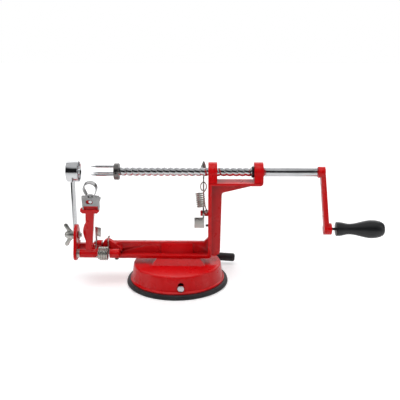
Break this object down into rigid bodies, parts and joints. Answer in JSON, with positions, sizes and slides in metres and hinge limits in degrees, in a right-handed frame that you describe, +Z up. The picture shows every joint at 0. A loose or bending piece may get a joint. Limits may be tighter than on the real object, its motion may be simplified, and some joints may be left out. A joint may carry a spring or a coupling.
{
  "type": "apple peeler corer",
  "caption": "Hand-cranked apple peeler, corer and slicer: cast frame on a suction base, feed screw with fork, sprung peeling arm and slicing blade.",
  "frame": {"origin": "on the table, in the middle of the face that the suction cup rests on", "axes": "+X runs along the feed screw from the fork to the crank, +Y points away from the peeling arm to the side of the suction lever grip, +Z is up"},
  "size_m": [0.334, 0.1086, 0.1297],
  "materials": {
    "red_paint": "gloss enamel",
    "bright_steel": "polished",
    "shaft_steel": "satin",
    "zinc_plate": "dull plated",
    "black_rubber": "satin",
    "black_plastic": "satin"
  },
  "bodies": {
    "frame": {"suction_cup": "black_rubber", "cup_plate": "zinc_plate", "base_dome": "red_paint", "base_screws": "bright_steel", "frame_casting": "red_paint", "slicing_blade": "bright_steel", "coring_ring": "bright_steel", "blade_bolt": "bright_steel", "blade_washer": "bright_steel", "pivot_pin": "bright_steel", "pivot_washer": "zinc_plate", "pivot_set_screw": "shaft_steel", "peel_arm_spring": "bright_steel", "latch_pin": "bright_steel", "release_pivot": "red_paint", "release_spring": "bright_steel", "spring_peg": "bright_steel", "stop_pin": "shaft_steel"},
    "bush": {"rear_bush": "black_plastic"},
    "shaft": {"drive_shaft": "shaft_steel", "fork_hub": "shaft_steel", "fork_tines": "shaft_steel", "hub_pin": "shaft_steel", "crank_arm": "red_paint", "crank_set_screw": "shaft_steel", "handle_bolt": "bright_steel", "handle_washer": "bright_steel"},
    "grip": {"handle_grip": "black_plastic"},
    "wing": {"wing_nut": "zinc_plate"},
    "arm": {"peel_arm": "red_paint", "blade_clip": "zinc_plate", "peel_blade": "bright_steel", "clip_screw": "bright_steel", "clip_nut": "bright_steel"},
    "latch": {"arm_latch": "zinc_plate"},
    "release": {"release_plate": "zinc_plate"},
    "lever": {"lever_axle": "bright_steel", "lever_grip": "black_rubber", "axle_clip": "bright_steel"},
    "stem": {"cup_stem": "zinc_plate"}
  },
  "joints": [
    {"name": "crank_turn", "type": "hinge", "parent": "frame", "child": "bush", "pos_m": [0.0837, 0, 0.119], "axis": [1, 0, 0], "range_deg": [-2160, 4500]},
    {"name": "shaft_feed", "type": "slide", "parent": "bush", "child": "shaft", "axis": [1, 0, 0], "range_m": [-0.03841, 0.08001]},
    {"name": "grip_spin", "type": "hinge", "parent": "shaft", "child": "grip", "pos_m": [0.19, 0, 0.0585], "axis": [1, 0, 0], "continuous": true},
    {"name": "wing_nut_turn", "type": "hinge", "parent": "frame", "child": "wing", "pos_m": [-0.1117, -0.0055, 0.0526], "axis": [1, 0, 0], "continuous": true},
    {"name": "peel_arm_swing", "type": "hinge", "parent": "frame", "child": "arm", "pos_m": [-0.09, -0.017, 0.0363], "axis": [1, 0, 0], "range_deg": [-12, 45], "stiffness_Nm_per_rad": 0.3, "deforming": ["peel_arm_spring"]},
    {"name": "arm_latch_swing", "type": "hinge", "parent": "frame", "child": "latch", "pos_m": [-0.0842, -0.0065, 0.0441], "axis": [1, 0, 0], "range_deg": [0, 10], "stiffness_Nm_per_rad": 0.05},
    {"name": "release_swing", "type": "hinge", "parent": "frame", "child": "release", "pos_m": [0.02765, 0, 0.0752], "axis": [-1, 0, 0], "range_deg": [0, 8], "stiffness_Nm_per_rad": 0.2, "deforming": ["release_spring"]},
    {"name": "suction_lever_turn", "type": "hinge", "parent": "frame", "child": "lever", "pos_m": [0.0058, 0, 0.0108], "axis": [0, -1, 0], "range_deg": [0, 170]},
    {"name": "cup_stem_lift", "type": "slide", "parent": "frame", "child": "stem", "axis": [0, 0, 1], "range_m": [0, 0.0026]}
  ],
  "couplings": [
    {"joint": "shaft_feed", "follows": "crank_turn", "m_per_rad": 0.0010186},
    {"joint": "cup_stem_lift", "follows": "suction_lever_turn", "m_per_rad": 0.00087}
  ]
}
